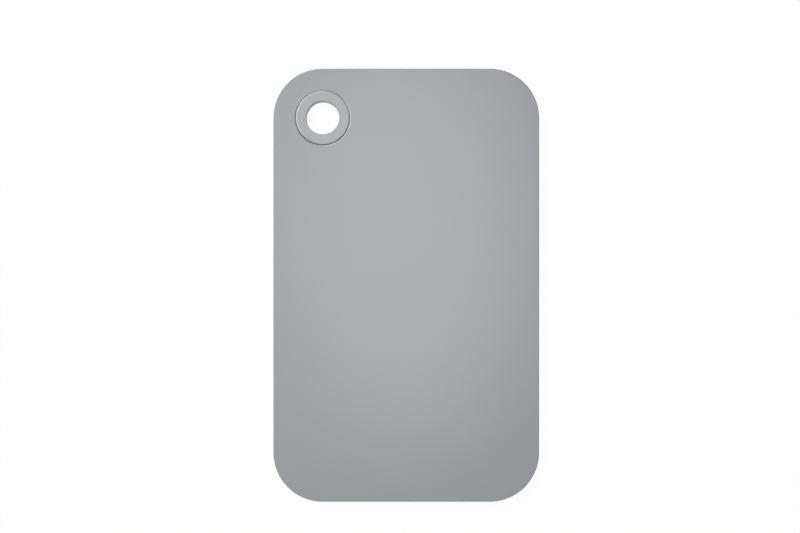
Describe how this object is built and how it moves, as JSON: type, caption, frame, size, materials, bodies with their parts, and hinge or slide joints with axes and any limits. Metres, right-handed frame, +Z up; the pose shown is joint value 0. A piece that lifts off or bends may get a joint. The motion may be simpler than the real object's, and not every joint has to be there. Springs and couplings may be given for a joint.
{
  "type": "breakfast board",
  "caption": "Flat plastic breakfast board with round corners, softened edges and a soft hanging ring clipped into a stepped hole in one corner.",
  "frame": {"origin": "middle of the underside, which is the face that the board lies on", "axes": "+Z up out of the top face, +Y along the length towards the end with the ring, +X across the width away from the ring"},
  "size_m": [0.143, 0.233, 0.008],
  "materials": {
    "board_plastic": "cool grey moulded plastic with a fine matte grain",
    "ring_elastomer": "soft elastomer in a slightly lighter and warmer grey, matte"
  },
  "bodies": {
    "root": {"board": "board_plastic", "hanging_ring": "ring_elastomer"}
  },
  "joints": []
}
